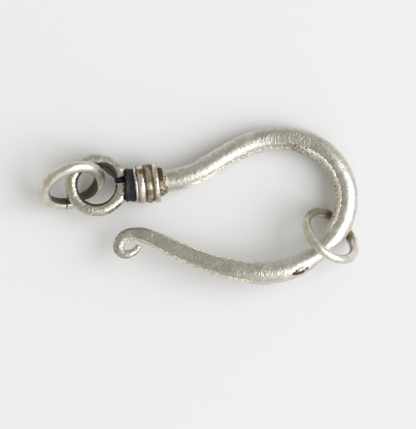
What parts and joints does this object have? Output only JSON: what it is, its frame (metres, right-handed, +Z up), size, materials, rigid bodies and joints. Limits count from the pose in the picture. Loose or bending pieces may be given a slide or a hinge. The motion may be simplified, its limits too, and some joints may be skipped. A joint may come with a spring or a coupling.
{
  "type": "hook and eye clasp",
  "caption": "Silver shepherd's-hook clasp with a ribbed collar, an end loop with a jump ring through it, and a thin catch ring hooked over the rod",
  "frame": {"origin": "centre of the footprint, on the surface that the clasp lies on", "axes": "X along the clasp to the bend of the hook, Y across it to the arm that leaves the collar, Z up"},
  "size_m": [0.0319, 0.0157, 0.006],
  "materials": {
    "oxidised_silver": "hand-polished cast silver with fine cross marks, near-black oxide in the neck, the cleft and the collar's grooves",
    "ring_wire": "drawn silver wire, warm grey with a dull polish",
    "catch_wire": "drawn silver wire, worn bright, brown at its seam"
  },
  "bodies": {
    "root": {"hook": "oxidised_silver", "jump_ring": "ring_wire", "catch_ring": "catch_wire"}
  },
  "joints": []
}
